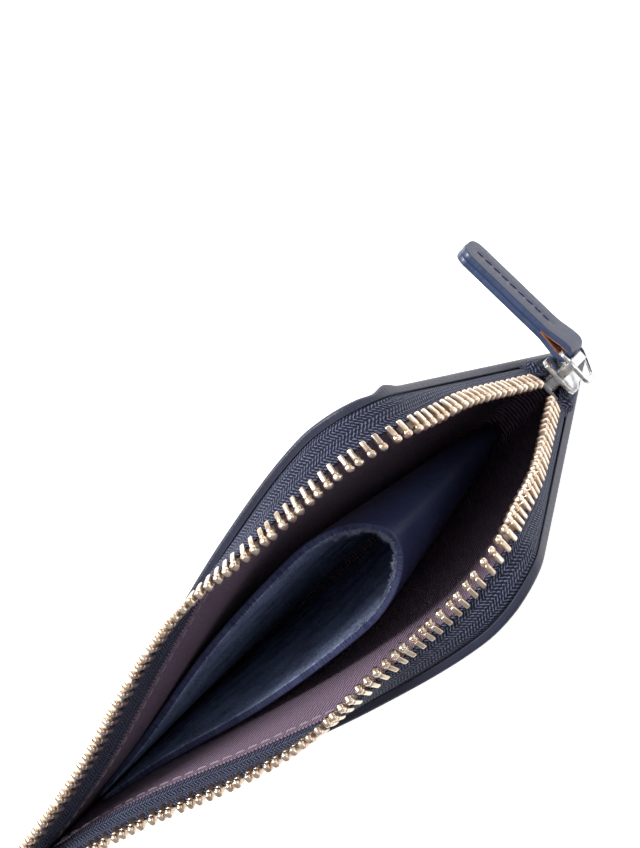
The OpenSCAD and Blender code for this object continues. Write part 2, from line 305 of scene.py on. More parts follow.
def suede(name, dark, light, nap=1.5):
    """Napped flesh side: matte, fibrous, with brushed lighter and darker patches."""
    m = Material(name, 0.95, Sheen_Weight=0.3, Sheen_Roughness=0.45, Specular_IOR_Level=0.15)
    m.shader.inputs["Sheen Tint"].default_value = (0.45, 0.55, 0.85, 1)
    place, _, _ = m.coordinates()
    stretched = m.node("Mapping", {"Vector": place}, Scale=(1.0, 0.7, 1.0))
    fibre = m.noise(stretched.outputs[0], nap, 6.0, 0.75)
    patch = m.noise(place, 0.12, 3.0)
    tone = m.math("ADD", m.math("MULTIPLY", fibre, 0.65), m.math("MULTIPLY", patch, 0.35))
    m.colour(m.ramp(tone, (0.41, dark), (0.60, light)))
    m.bump(fibre, 0.6)
    m.bump(m.noise(place, 9.0, 3.0), 0.08)
    return m.material


def twill(name, dark, light):
    """Ribbed lining twill: slanted ribs just under a millimetre apart, crossed by fine yarns."""
    m = Material(name, 0.85, Sheen_Weight=0.04, Specular_IOR_Level=0.25)
    place, u, v = m.coordinates()
    drift = m.math("MULTIPLY", m.noise(place, 0.5, 2.0), 0.5)
    slant = m.math("ADD", m.math("ADD", u, m.math("MULTIPLY", v, 0.16)), drift)
    rib = m.math("SINE", m.math("MULTIPLY", slant, 2 * math.pi / 0.92))
    crossing = m.math("ADD", v, m.math("MULTIPLY", u, 0.3))
    yarn = m.math("SINE", m.math("MULTIPLY", crossing, 2 * math.pi / 0.42))
    high = m.math("ADD", m.math("MULTIPLY", rib, 0.36), m.math("MULTIPLY", yarn, 0.06))
    tone = m.math("ADD", high, 0.5)
    speck = m.noise(place, 2.4, 3.0)
    m.colour(m.mix(m.math("MULTIPLY", speck, 0.3), m.ramp(tone, (0.2, dark), (0.75, light)), dark))
    m.bump(tone, 0.35)
    m.bump(speck, 0.05)
    return m.material


def herringbone(name, dark, light, glint):
    """Zip tape: columns of slanted yarns that turn about at each column, with lit yarn crowns."""
    m = Material(name, 0.7, Sheen_Weight=0.03, Specular_IOR_Level=0.25)
    place, u, v = m.coordinates()
    column = m.math("DIVIDE", v, 1.7)
    side = m.math("SUBTRACT", m.math("MULTIPLY", m.math("PINGPONG", column, 1.0), 2.0), 1.0)
    slant = m.math("ADD", u, m.math("MULTIPLY", side, 0.75))
    wobble = m.math("MULTIPLY", m.noise(place, 1.3, 2.0), 0.5)
    yarn = m.math("SINE", m.math("MULTIPLY", m.math("ADD", slant, wobble), 2 * math.pi / 0.82))
    plait = m.math("SINE", m.math("MULTIPLY", column, 4 * math.pi))
    high = m.math("ADD", m.math("MULTIPLY", yarn, 0.36), m.math("MULTIPLY", plait, 0.16))
    tone = m.math("ADD", high, 0.5)
    speck = m.noise(place, 3.2, 2.0, 0.7)
    crown = m.math("MULTIPLY", m.math("GREATER_THAN", m.math("MULTIPLY", tone, speck), 0.36), 0.75)
    m.colour(m.mix(crown, m.ramp(tone, (0.2, dark), (0.85, light)), glint))
    m.bump(tone, 0.28)
    m.bump(speck, 0.08)
    return m.material


def thread(name, dark, light):
    """Twisted sewing thread: plies that wind round the strand, lighter on the ply crests and in random
    patches; that light colour is partly painted highlight, the glints on the plies.
    """
    m = Material(name, 0.55, Sheen_Weight=0.3)
    place, u, v = m.coordinates()
    ply_and_painted_glint = m.math("SINE", m.math("MULTIPLY", m.math("ADD", u, v), 2 * math.pi / 0.42))
    tone = m.math("ADD", m.math("MULTIPLY", ply_and_painted_glint, 0.4), 0.5)
    # Painted highlight: the light colour on the ply crests and in the random patches stands partly for
    # glints on the plies.
    m.colour(m.mix(m.noise(place, 3.0), m.ramp(tone, (0.1, dark), (0.9, light)), light))
    m.bump(tone, 0.1)
    return m.material


def metal(name, colour, shade, roughness, scratch=0.012):
    """Cast and tumbled metal: plated, slightly uneven, with faint scratches and dull pits."""
    m = Material(name, roughness, Metallic=1.0)
    place = m.node("TexCoord").outputs["Object"]
    stretched = m.node("Mapping", {"Vector": place}, Scale=(1.0, 0.12, 1.0))
    grain = m.noise(stretched.outputs[0], 5200.0, 2.0)
    cloud = m.noise(place, 650.0, 3.0)
    m.colour(m.ramp(cloud, (0.3, shade), (0.62, colour)))
    m.rough(m.math("ADD", m.math("MULTIPLY", grain, 0.5), m.math("MULTIPLY", cloud, 0.5)),
            max(roughness - 0.08, 0.05), roughness + 0.16)
    m.bump(grain, scratch)
    return m.material


NAVY = (0.008, 0.010, 0.028)
NAVY_LIT = (0.016, 0.020, 0.047)
leather_outer = leather("navy_leather_grain", NAVY, NAVY_LIT, 0.46, coat=0.04)
leather_inner = leather("navy_leather_back", (0.012, 0.015, 0.035), (0.03, 0.034, 0.06), 0.75, 1.1)
sleeve_grain = leather("sleeve_grain", (0.018, 0.026, 0.075), (0.032, 0.045, 0.115), 0.34, 1.9, 0.03)
sleeve_suede = suede("sleeve_suede", (0.075, 0.105, 0.22), (0.44, 0.54, 0.80))
sleeve_cut = suede("sleeve_cut_edge", (0.022, 0.026, 0.078), (0.10, 0.112, 0.235), 1.5)
sleeve_fibre = suede("sleeve_fibre", (0.20, 0.23, 0.36), (0.45, 0.50, 0.68), 1.5)
tab_grain = leather("tab_grain", (0.017, 0.023, 0.056), (0.029, 0.038, 0.080), 0.5, 1.5, 0.05, 0.02)
tab_edge = leather("tab_painted_edge", (0.014, 0.025, 0.070), (0.034, 0.058, 0.135), 0.34, 0.9, 0.03)
tab_flesh = suede("tab_flesh", (0.22, 0.065, 0.012), (0.50, 0.19, 0.045))
lining_cloth = twill("mauve_twill", (0.060, 0.036, 0.062), (0.330, 0.235, 0.335))
tape_cloth = herringbone("zip_tape_weave", (0.004, 0.005, 0.014), (0.020, 0.024, 0.056), (0.15, 0.17, 0.28))
# Its bright blue light colour is a painted highlight: the blue glints on the navy stitches.
navy_thread = thread("navy_thread", (0.006, 0.009, 0.05), (0.05, 0.055, 0.22))
mauve_thread = thread("mauve_thread", (0.10, 0.07, 0.11), (0.36, 0.29, 0.36))
teeth_metal = metal("teeth_metal", (0.84, 0.72, 0.60), (0.60, 0.43, 0.31), 0.30)
nickel = metal("nickel", (0.66, 0.66, 0.67), (0.44, 0.44, 0.46), 0.22)


# ---------------------------------------------------------------- mesh makers
def new_object(name, points, faces, materials, uvs=None, indices=None):
    """A mesh object from points in millimetres, with a UV map that is in millimetres too."""
    mesh = bpy.data.meshes.new(name)
    mesh.from_pydata((np.asarray(points, float) * MM).tolist(), [], faces)
    for material in materials:
        mesh.materials.append(material)
    if indices is not None:
        mesh.polygons.foreach_set("material_index", np.asarray(indices, np.int32))
    layer = mesh.uv_layers.new(name="mm")
    corner = np.zeros(len(mesh.loops), np.int32)
    mesh.loops.foreach_get("vertex_index", corner)
    flat = np.asarray(points)[:, :2] if uvs is None else np.asarray(uvs)
    layer.data.foreach_set("uv", flat[corner].astype(np.float32).ravel())
    mesh.polygons.foreach_set("use_smooth", [True] * len(mesh.polygons))
    mesh.validate()
    made = bpy.data.objects.new(name, mesh)
    bpy.context.scene.collection.objects.link(made)
    outward(made)
    return made


def outward(obj):
    """Turns every face of a closed mesh outwards."""
    bm = bmesh.new()
    bm.from_mesh(obj.data)
    bmesh.ops.recalc_face_normals(bm, faces=bm.faces)
    bm.to_mesh(obj.data)
    bm.free()


def apply(obj, kind, **settings):
    """Adds a modifier and applies it at once."""
    modifier = obj.modifiers.new(kind.title(), kind)
    for label, value in settings.items():
        setattr(modifier, label, value)
    view = bpy.context.evaluated_depsgraph_get()
    mesh = bpy.data.meshes.new_from_object(obj.evaluated_get(view))
    obj.modifiers.clear()
    obj.data = mesh
    return obj


def grid_faces(rows, cols, start=0, flip=False, wrap=False):
    """Quads of a grid of points; wrap joins the last column to the first."""
    faces = []
    for j in range(rows - 1):
        for i in range(cols if wrap else cols - 1):
            k = (i + 1) % cols
            quad = [start + j * cols + i, start + (j + 1) * cols + i,
                    start + (j + 1) * cols + k, start + j * cols + k]
            faces.append(quad[::-1] if flip else quad)
    return faces


def closed_sheet(name, outer, inner, uv, materials, subdivide=1):
    """A closed sheet between two grids of points. Materials are for the outside, inside and rim."""
    rows, cols = outer.shape[:2]
    count = rows * cols
    faces = grid_faces(rows, cols) + grid_faces(rows, cols, count, True)
    indices = [0] * ((rows - 1) * (cols - 1)) + [1] * ((rows - 1) * (cols - 1))
    ring = [(0, i) for i in range(cols)] + [(j, cols - 1) for j in range(1, rows)]
    ring += [(rows - 1, i) for i in range(cols - 2, -1, -1)] + [(j, 0) for j in range(rows - 2, 0, -1)]
    flat = [j * cols + i for j, i in ring]
    for a, b in zip(flat, flat[1:] + flat[:1]):
        faces.append([a, b, b + count, a + count])
        indices.append(2)
    points = np.concatenate([outer.reshape(-1, 3), inner.reshape(-1, 3)])
    uvs = np.concatenate([uv.reshape(-1, 2), uv.reshape(-1, 2)])
    made = new_object(name, points, faces, materials, uvs, indices)
    if subdivide:
        apply(made, "SUBSURF", levels=subdivide, render_levels=subdivide)
    return made


SLANTED = np.array([0.31, 0.17, 0.93])      # a direction that no tube runs along


def tube(path, radius, sides=10):
    """Points, faces and UVs of a tube along a path, with flat ends."""
    path = np.asarray(path, float)
    tangent = unit(np.gradient(path, axis=0))
    first = unit(np.cross(tangent, SLANTED))
    second = np.cross(tangent, first)
    radius = np.broadcast_to(np.asarray(radius, float), (len(path),)).copy()
    angle = np.arange(sides) * 2 * math.pi / sides
    rings = (path[:, None] + radius[:, None, None] * (
        first[:, None] * np.cos(angle)[None, :, None]
        + second[:, None] * np.sin(angle)[None, :, None]))
    length = np.concatenate([[0], np.cumsum(np.linalg.norm(np.diff(path, axis=0), axis=1))])
    uv = np.stack(np.broadcast_arrays(length[:, None], angle[None] * radius.mean()), -1)
    faces = grid_faces(len(path), sides, 0, False, True)
    faces += [list(range(sides)), list(range((len(path) - 1) * sides, len(path) * sides))[::-1]]
    return rings.reshape(-1, 3), faces, uv.reshape(-1, 2)


def joined(parts):
    """Several (points, faces, uvs) as one."""
    points, faces, uvs, start = [], [], [], 0
    for p, f, t in parts:
        points.append(p)
        uvs.append(t)
        faces += [[i + start for i in face] for face in f]
        start += len(p)
    return np.concatenate(points), faces, np.concatenate(uvs)


def stitch(a, b, up, radius, rise=0.25):
    """One stitch from a to b: a short thick strand whose ends dive into the material."""
    t = np.sin(np.linspace(-1, 1, 9) * math.pi / 2)
    lift = (rise - (rise + radius * 1.5) * np.abs(t) ** 7)[:, None] * up
    path = a + (b - a) * ((t + 1) / 2)[:, None] + lift
    return tube(path, radius * (1 - 0.35 * np.abs(t) ** 4), 8)


def stitch_run(name, point, normal, start, end, length, pause, radius, material, tilt=0.0, **kw):
    """A run of stitches; point(s) and normal(s) give the seam line and the way out of it."""
    parts = []
    side = np.cross(normal((start + end) / 2), unit(point(end) - point(start)))
    for s in np.arange(start, end - length, length + pause):
        slip = side * tilt * rng.uniform(0.7, 1.3)
        a, b = point(s) - slip, point(s + length) + slip
        parts.append(stitch(a, b, normal(s + length / 2), radius * rng.uniform(0.92, 1.06), **kw))
    points, faces, uvs = joined(parts)
    return new_object(name, points, faces, [material], uvs)


def place(obj, body, slot, *nodes):
    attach(obj, body)
    if nodes:
        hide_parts(*nodes)
    return obj


SOFT = []          # the soft pieces of the pouch, each given its own mesh at the end


def soft(obj, slot, *nodes):
    """A piece of the pouch: kept in SOFT and attached to the pouch body."""
    SOFT.append(obj)
    return place(obj, "pouch", slot, *nodes)


SIDES = (("back", 1), ("front", -1))


# ---------------------------------------------------------------- leather and lining
def row_end(z):
    turned = np.clip(z - PANEL_H + CORNER_R, 0, CORNER_R)
    return RIGHT_X - CORNER_R + np.sqrt(CORNER_R ** 2 - turned ** 2)


def wall_rows(count=44):
    """Heights of a panel's rows: even up the wall, and close together round the corner."""
    low = np.linspace(FIRST_ROW, PANEL_H - CORNER_R, count, endpoint=False)
    turn = np.radians([0, 12, 24, 36, 48, 60, 70, 78, 84, 88.5])
    return np.concatenate([low, PANEL_H - CORNER_R + CORNER_R * np.sin(turn), [PANEL_H]])


def skin(depth, seam_in, zip_in, side, relief=None):
    """A grid of points of one skin, depth inside the leather's outer face, with its UVs."""
    us = np.concatenate([[0, 0.006, 0.016], np.linspace(0.03, 0.97, 76),
                         [0.978, 0.984, 0.989, 0.9935, 0.9965, 0.999, 1]])
    rows, uvs = [], []
    under = [(j, FIRST_ROW) for j in (-4, -3, -2, -1)]
    for j, row in [*under, *enumerate(wall_rows())]:
        x = -LEFT_X + seam_in + (row_end(row) - zip_in - seam_in + LEFT_X) * us
        z = np.full_like(x, row * (1 - zip_in / PANEL_H))
        if j < -2:
            y, z = np.full_like(x, MEET if j == -4 else MEET + 0.15), np.full_like(x, depth)
        elif j == -2:
            y, z = MEET + (foot(x) - depth - MEET) * 0.8, np.full_like(x, depth)
        elif j == -1:
            y, z = foot(x) - depth, np.full_like(x, depth * 0.6 + 1.2)
        else:
            y = half(x, z) - depth
            if relief is not None:
                y = y + relief(x, z)
        shut = np.maximum(np.exp(-(((x + LEFT_X) / PRESSED) ** 4)),
                          np.exp(-(((x - RIGHT_X) / PRESSED) ** 4) - (row / 6) ** 4)) * (depth > 0)
        y = np.maximum(y + (MEET - y) * shut, MEET)
        rows.append(np.stack([x, y * side, z], -1))
        uvs.append(np.stack([x, np.full_like(x, row if j >= 0 else j * 2.0)], -1))
    return np.array(rows), np.array(uvs)


def from_edge(x, z):
    """Distance from the zip edge of a panel, round its corner."""
    dx, dz = RIGHT_X - x, PANEL_H - z
    near = np.minimum(dx, dz)
    cx, cz = CORNER_R - dx, CORNER_R - dz
    inside = CORNER_R - np.hypot(np.maximum(cx, 0), np.maximum(cz, 0))
    return np.where((cx > 0) & (cz > 0), inside, near)


def outer_relief(x, z):
    """Turned-in edge, pulled-in stitch line and the slow waves of hanging leather."""
    d = from_edge(x, z)
    d = np.clip(d, 0, None)
    round_top = np.sqrt(1 - np.clip((1.1 - d) / 1.1, 0, 1) ** 2)
    roll = 0.95 * round_top * np.exp(-((np.maximum(d - 1.1, 0) / 1.0) ** 2)) * ease(x, -LEFT_X, -LEFT_X + 8)
    groove = -0.25 * np.exp(-(((d - TOPSTITCH_IN) / 0.5) ** 2))
    waves = 0.16 * np.sin(x / 9.0 + z / 17.0) * np.sin(z / 13.0 + 0.6) * ease(z, 12, 40) * ease(d, 1, 12)
    seam = -0.15 * np.exp(-(((x + LEFT_X - SIDE_STITCH_IN) / 0.7) ** 2))
    return roll + groove + waves + seam


def gathered_relief(x, z):
    """The same, with the leather bunched up into a small pleat below the top corner."""
    bunch = (x - RIGHT_X) ** 2 + (z - PANEL_H + CORNER_R) ** 2
    notch = (x - RIGHT_X + 1.5) ** 2 + (z - PANEL_H + CORNER_R - 4) ** 2
    return outer_relief(x, z) + 1.2 * np.exp(-bunch / 6) - 0.6 * np.exp(-notch / 3)


def leather_panel(name, side):
    outer, uv = skin(0, 0, 0, side, gathered_relief if side > 0 else outer_relief)
    inner, _ = skin(LEATHER_T, 0, 0, side)
    made = closed_sheet(f"{name}_leather", outer, inner, uv, [leather_outer, leather_inner, leather_outer])
    return soft(made, "navy_leather", f"{name}_panel")


def lining_relief(x, z):
    """The dip along the topstitching by the zip, and loose cloth that ripples below it."""
    d = from_edge(x, z)
    dip = 0.12 * np.exp(-(((d - LINING_STITCH_IN) / 0.5) ** 2))
    ripple = 0.08 * (1 + np.sin(x / 5.0 + z / 7.0)) * ease(d, 5, 12) * ease(x, -LEFT_X + 8, -LEFT_X + 20)
    return dip - ripple * ease(z, 10, 25)


def lining(name, side):
    outer, uv = skin(LINING_DEPTH, LINING_SIDE, LINING_ZIP, side)
    inner, _ = skin(LINING_DEPTH + LINING_T, LINING_SIDE, LINING_ZIP, side, lining_relief)
    made = closed_sheet(f"{name}_lining_cloth", outer, inner, uv, [lining_cloth] * 3, 0)
    soft(made, "mauve_twill", f"{name}_lining")
    return made


# ---------------------------------------------------------------- zip
def tape(name, side):
    """The woven tape from under the leather to its corded edge, a little wavy."""
    stations = np.linspace(ZIP_START, ZIP_END - 2.5, int((ZIP_END - ZIP_START) / 1.2))
    s, k = np.meshgrid(stations, np.linspace(0, 1, 10), indexing="ij")
    w = tuck(s) + 0.05 + (TAPE_W - 0.55 - tuck(s)) * k
    sag = 0.18 * np.sin(s / 6.5) * np.sin(math.pi * k) + 0.65 * np.exp(-(((w - tuck(s)) / 0.8) ** 2))
    middle = mouth(s, w) + through(s) * sag[..., None]
    thick = through(s) * (TAPE_T / 2)
    uv = np.stack([s, w], -1)
    made = closed_sheet(f"{name}_tape_cloth", mirrored(middle + thick, side), mirrored(middle - thick, side),
                        uv, [tape_cloth] * 3, 0)
    return soft(made, "zip_tape", f"{name}_tape")


def tape_end(name, side):
    """The tape's last stretch: it folds into the slider's channel and ends at the bottom stop."""
    heights = np.linspace(SLIDER_HIGH[2] + 1.5, SLIDER_LOW[2] - 10, 34)
    middle = np.zeros((len(heights), 7, 3))
    for j, z in enumerate(heights):
        base = float(half(RIGHT_X, z)) - LEATHER_T - 0.3
        wide = max(base, 4.6) + 0.25
        inside = np.array([(67.8, base), (68.3, wide), (69.3, wide + 0.2), (70.2, wide), (70.8, 4.4),
                           (70.9, 3.0), (70.9, 1.8)])
        k = np.linspace(0, 1, 7)
        above = np.stack([68.1 + 1.65 * k, base + 0.2 - 4.1 * k], -1)
        inside = above + (inside - above) * float(ease(-z, -SLIDER_HIGH[2] - 1.0, -SLIDER_HIGH[2] + 1.5))
        below = np.stack([67.8 + 2.5 * k, base + (0.4 - base) * k ** 0.8 + 0.6 * np.sin(math.pi * k)], -1)
        mix = float(ease(z, SLIDER_LOW[2] - 3, SLIDER_LOW[2] + 0.5))
        middle[j, :, :2] = below + (inside - below) * mix
        middle[j, :, 2] = z
    tangent = unit(np.gradient(middle, axis=1))
    out = unit(np.cross(tangent, np.array([0, 0, 1.0]))) * TAPE_T / 2
    run = ZIP_END + SLIDER_HIGH[2] - heights[:, None]
    uv = np.stack(np.broadcast_arrays(run, np.arange(7)[None] * 1.1), -1)
    made = closed_sheet(f"{name}_tape_end", mirrored(middle + out, side), mirrored(middle - out, side),
                        uv, [tape_cloth] * 3)
    return soft(made, "zip_tape")


def tape_cord(name, side):
    """The thick corded edge of the tape that the teeth grip."""
    stations = np.arange(ZIP_START, ZIP_END - 2.5, 0.8)
    path = mirrored(mouth(stations, TAPE_W - 0.45), side)
    points, faces, uvs = tube(path, 0.58, 10)
    made = new_object(f"{name}_corded_edge", points, faces, [tape_cloth], uvs)
    return soft(made, "zip_tape", f"{name}_tape_cord")


def rounded_block(size, bevel=0.18, segments=2, centre=(0, 0, 0)):
    """Points and faces of a box with rounded edges."""
    bm = bmesh.new()
    bmesh.ops.create_cube(bm, size=1.0)
    bmesh.ops.scale(bm, vec=Vector(size), verts=bm.verts)
    bmesh.ops.bevel(bm, geom=bm.edges[:], offset=bevel, segments=segments, profile=0.6, affect="EDGES")
    bmesh.ops.translate(bm, vec=Vector(centre), verts=bm.verts)
    return taken(bm)


def rounded_drum(radius, height, bevel=0.2, sides=14, centre=(0, 0, 0)):
    """Points and faces of a short cylinder along the third axis with rounded rims."""
    bm = bmesh.new()
    bmesh.ops.create_cone(bm, cap_ends=True, segments=sides, radius1=radius, radius2=radius, depth=height)
    rims = [e for e in bm.edges if abs(e.verts[0].co.z - e.verts[1].co.z) < 1e-6]
    bmesh.ops.bevel(bm, geom=rims, offset=bevel, segments=2, profile=0.6, affect="EDGES")
    bmesh.ops.translate(bm, vec=Vector(centre), verts=bm.verts)
    return taken(bm)


def taken(bm):
    bm.verts.index_update()
    points = np.array([v.co[:] for v in bm.verts])
    faces = [[v.index for v in f.verts] for f in bm.faces]
    bm.free()
    return points, faces


def tooth_template():
    """One tooth in its own axes: along the chain, across the tape, through the tape."""
    leg = rounded_block((1.2, 2.7, 2.2), 0.42, 3, (0, TOOTH_OUT - 2.75, 0))
    neck = rounded_block((0.95, 1.4, 1.6), 0.15, 2, (0, TOOTH_OUT - 1.6, 0))
    head = rounded_drum(0.9, 1.9, 0.5, 14, (0, TOOTH_OUT - 0.88, 0))
    nub = rounded_drum(0.45, 2.1, 0.2, 10, (0, TOOTH_OUT - 0.95, 0))
    parts = [(p, f, p[:, :2]) for p, f in (leg, neck, head, nub)]
    return joined(parts)


def teeth(name, side, shift):
    points, faces, _ = tooth_template()
    parts = []
    for s in np.arange(ZIP_START + 5 + shift, ZIP_END - 4.5, TOOTH_PITCH):
        a, w, n = along(s), across(s), through(s)
        turn = math.radians(rng.uniform(-2.2, 2.2))
        a, w = a * math.cos(turn) + w * math.sin(turn), w * math.cos(turn) - a * math.sin(turn)
        at = mouth(s, 0)
        placed = at + points[:, :1] * a + points[:, 1:2] * w + points[:, 2:] * n
        parts.append((mirrored(placed, side), faces, points[:, :2]))
    points, faces, uvs = joined(parts)
    made = new_object(f"{name}_metal_teeth", points, faces, [teeth_metal], uvs)
    return soft(made, "teeth_metal", f"{name}_teeth")


def top_stop(name, side):
    points, faces = rounded_block((2.6, 3.0, 2.3), 0.3, 3, (0, TOOTH_OUT - 1.7, 0))
    s = ZIP_START + 2.0
    placed = mouth(s, 0) + points[:, :1] * along(s) + points[:, 1:2] * across(s) + points[:, 2:] * through(s)
    made = new_object(f"{name}_stop", mirrored(placed, side), faces, [nickel])
    return soft(made, "nickel", f"{name}_top_stop")


def seam_line(inset, depth, lift):
    """A function that gives a seam's line, inset from the zip edge."""
    def point(s):
        x, z, out_x, out_z = edge(s)
        x, z = x - inset * out_x, z - inset * out_z
        return np.array([x, half(x, z) - depth + lift, z])

    return point


def zip_stitching(name, side):
    line = seam_line(TOPSTITCH_IN, 0, -0.2)
    made = stitch_run(
        f"{name}_topstitch", lambda s: mirrored(line(s), side), lambda s: np.array([0, side, 0]),
        start=4, end=ZIP_END + 12, length=2.7, pause=0.75, radius=0.26, material=navy_thread, tilt=0.12)
    return soft(made, "navy_thread", f"{name}_zip_stitching")


def lining_stitching(name, side):
    line = seam_line(LINING_STITCH_IN, LINING_DEPTH + LINING_T, 0.02)
    made = stitch_run(
        f"{name}_lining_topstitch", lambda s: mirrored(line(s), side), lambda s: np.array([0, -side, 0]),
        start=6, end=ZIP_END + 6, length=2.6, pause=0.7, radius=0.2, material=mauve_thread, tilt=0.1,
        rise=0.1)
    return soft(made, "mauve_thread", f"{name}_lining_stitching")


def side_seam():
    parts = []
    x = -LEFT_X + SIDE_STITCH_IN
    for side in (1, -1):
        for z in np.arange(5, PANEL_H - 5, 3.45):
            a = np.array([x, side * (half(x, z) - 0.05), z])
            b = np.array([x, side * (half(x, z + 2.7) - 0.05), z + 2.7])
            parts.append(stitch(a, b, np.array([0, side, 0]), 0.26))
    points, faces, uvs = joined(parts)
    made = new_object("side_seam_thread", points, faces, [navy_thread], uvs)
    return soft(made, "navy_thread", "side_seam_stitching")


# ---------------------------------------------------------------- inner sleeve
SLEEVE_END = 60.0


def sleeve_half_at(x, z):
    k = (z / SLEEVE_TOP) ** 0.8
    deep, long = 1 + 9.2 * k, 1.2 + 18.8 * k
    straight = smooth(x, SLEEVE_HALF)
    least = np.minimum(1, straight)
    turn = np.maximum(x - SLEEVE_X + long, 0) / long
    return (least + (straight - least) * k) * np.sqrt(np.clip(1 - turn ** 2, 0, None))


def sleeve_mid(t, z):
    """The sleeve at t from -1 (front, at the seam) to 1 (back), through its fold at 0."""
    t, z = np.broadcast_arrays(np.asarray(t, float), np.asarray(z, float))
    x = SLEEVE_X - (SLEEVE_X + SLEEVE_END) * t ** 2
    return np.stack([x, np.sign(t) * sleeve_half_at(x, z), z], -1)


def sleeve_out(t, z):
    return unit(np.cross(sleeve_mid(t + 0.01, z) - sleeve_mid(t - 0.01, z), np.array([0, 0, 1.0])))


def sleeve():
    ts = np.linspace(-1, 1, 170)
    zs = np.concatenate([np.linspace(2.6, SLEEVE_TOP - 1.2, 34), SLEEVE_TOP - np.array([0.6, 0.25, 0])])
    z, t = np.meshgrid(zs, ts, indexing="ij")
    middle, out = sleeve_mid(t, z), sleeve_out(t, z)
    wave = 0.22 * np.sin(t * 9 + z / 16) * ease(z, 10, 60) * (1 - ease(np.abs(t), 0.6, 0.9))
    thick = SLEEVE_T / 2 - 0.5 * (np.maximum(np.abs(t) - 0.85, 0) / 0.15) ** 2
    length = np.concatenate([[0], np.cumsum(np.linalg.norm(np.diff(middle[-1], axis=0), axis=1))])
    uv = np.stack(np.broadcast_arrays(length[None], z), -1)
    outer = middle + out * (thick + wave * 0.4)[..., None]
    inner = middle - out * (thick - wave * 0.4)[..., None]
    made = closed_sheet("sleeve_leather_sheet", outer, inner, uv, [sleeve_grain, sleeve_suede, sleeve_cut])
    soft(made, "sleeve_leather", "inner_sleeve")
    return made


def sleeve_fibres():
    """Loose fibres along the cut rim of the suede, denser round the fold, with longer ones in tufts."""
    points, faces = [], []
    for _ in range(1900):
        t = rng.uniform(-0.9, 0.9) * rng.uniform(0.25, 1.0)
        z = SLEEVE_TOP - rng.uniform(0, 0.6)
        out = sleeve_out(t, z)
        ahead = unit(sleeve_mid(t + 0.01, z) - sleeve_mid(t - 0.01, z))
        base = sleeve_mid(t, z) - out * SLEEVE_T * rng.uniform(0.1, 0.46)
        way = unit(-out * rng.uniform(0.2, 1.2) + ahead * rng.normal(0, 0.6)
                   + np.array([0, 0, rng.uniform(-0.3, 0.7)]))
        tuft = 1.7 if math.sin(t * 47) * math.sin(t * 19 + 1) > 0.35 else 1.0
        reach = rng.uniform(0.45, 1.15) * tuft
        bend = unit(way + rng.normal(0, 0.4, 3))
        side = unit(np.cross(way, rng.normal(0, 1, 3))) * 0.08
        other = np.cross(way, side)
        start = len(points)
        for centre, width in ((base, 1.0), (base + way * reach * 0.55, 0.8)):
            points += [centre + side * width, centre - side * 0.5 * width + other * 0.87 * width,
                       centre - side * 0.5 * width - other * 0.87 * width]
        points.append(base + way * reach * 0.55 + bend * reach * 0.5)
        a, b = start, start + 3
        faces += [[a, a + 1, a + 2]]
        faces += [[a + i, a + (i + 1) % 3, b + (i + 1) % 3, b + i] for i in range(3)]
        faces += [[b + i, b + (i + 1) % 3, start + 6] for i in range(3)]
    made = new_object("sleeve_rim_fibres", np.array(points), faces, [sleeve_fibre])
    return soft(made, "sleeve_leather")


# ---------------------------------------------------------------- slider, ring and tab
def cad_copy(name, node, body, slot, material, bevel):
    """A CAD part's own shape with its sharp edges rounded."""
    source = frame["nodes"][node]
    bm = bmesh.new()
    bm.from_mesh(source.data)
    bmesh.ops.remove_doubles(bm, verts=bm.verts, dist=1e-6)
    bmesh.ops.dissolve_limit(bm, angle_limit=math.radians(2), verts=bm.verts, edges=bm.edges)
    mesh = bpy.data.meshes.new(name)
    bm.to_mesh(mesh)
    bm.free()
    mesh.materials.clear()
    mesh.materials.append(material)
    made = bpy.data.objects.new(name, mesh)
    bpy.context.scene.collection.objects.link(made)
    apply(made, "BEVEL", width=bevel * MM, segments=3, limit_method="ANGLE",
          angle_limit=math.radians(35), harden_normals=False)
    made.data.polygons.foreach_set("use_smooth", [True] * len(made.data.polygons))
    return place(made, body, slot, node)


RING_SHORT = 5.2                 # length of the ring's short leg
RING_FLAT = 3.2                  # straight part of its lower leg, by the tab
RING_BEND = 1.2                  # where a corner's bend starts


def ring():
    """The link: a flat wire bent into a closed loop, with one slanted leg and rounded corners."""
    low, high = box_mm("pull_ring")
    wire = high[0] - low[0]
    x = (low[0] + high[0]) / 2
    y0, y1, z0, z1 = low[1] + wire / 2, high[1] - wire / 2, low[2] + wire / 2, high[2] - wire / 2
    corners = np.array([(y1, z1), (y0, z1), (y0, z1 - RING_SHORT), (y1 - RING_FLAT, z0), (y1, z0)])
    path = []
    for k, corner in enumerate(corners):
        into, away = unit(corners[k - 1] - corner), unit(corners[(k + 1) % len(corners)] - corner)
        for t in np.linspace(0, 1, 7):
            bent = corner + (into * (1 - t) ** 2 + away * t ** 2) * RING_BEND
            path.append([x, bent[0], bent[1]])
    path = np.array(path)
    tangent = unit(np.roll(path, -1, 0) - np.roll(path, 1, 0))
    flat = np.array([1.0, 0, 0])
    up = unit(np.cross(tangent, flat))
    angle = np.radians(np.arange(0, 360, 22.5))
    a = np.sign(np.cos(angle)) * np.abs(np.cos(angle)) ** 0.5
    b = np.sign(np.sin(angle)) * np.abs(np.sin(angle)) ** 0.5
    points = (path[:, None] + flat * a[None, :, None] * wire * 0.42
              + up[:, None] * b[None, :, None] * wire * 0.5).reshape(-1, 3)
    sides = len(angle)
    faces = grid_faces(len(path), sides, 0, False, True)
    last = (len(path) - 1) * sides
    faces += [[last + i, i, (i + 1) % sides, last + (i + 1) % sides] for i in range(sides)]
    made = new_object("ring_wire", points, faces, [nickel])
    return place(made, "ring", "nickel", "pull_ring")


TAB_T = 1.6
TAB_W = 8.8
TAB_LEN = 32.0
TAB_LEAN = math.radians(3.5)


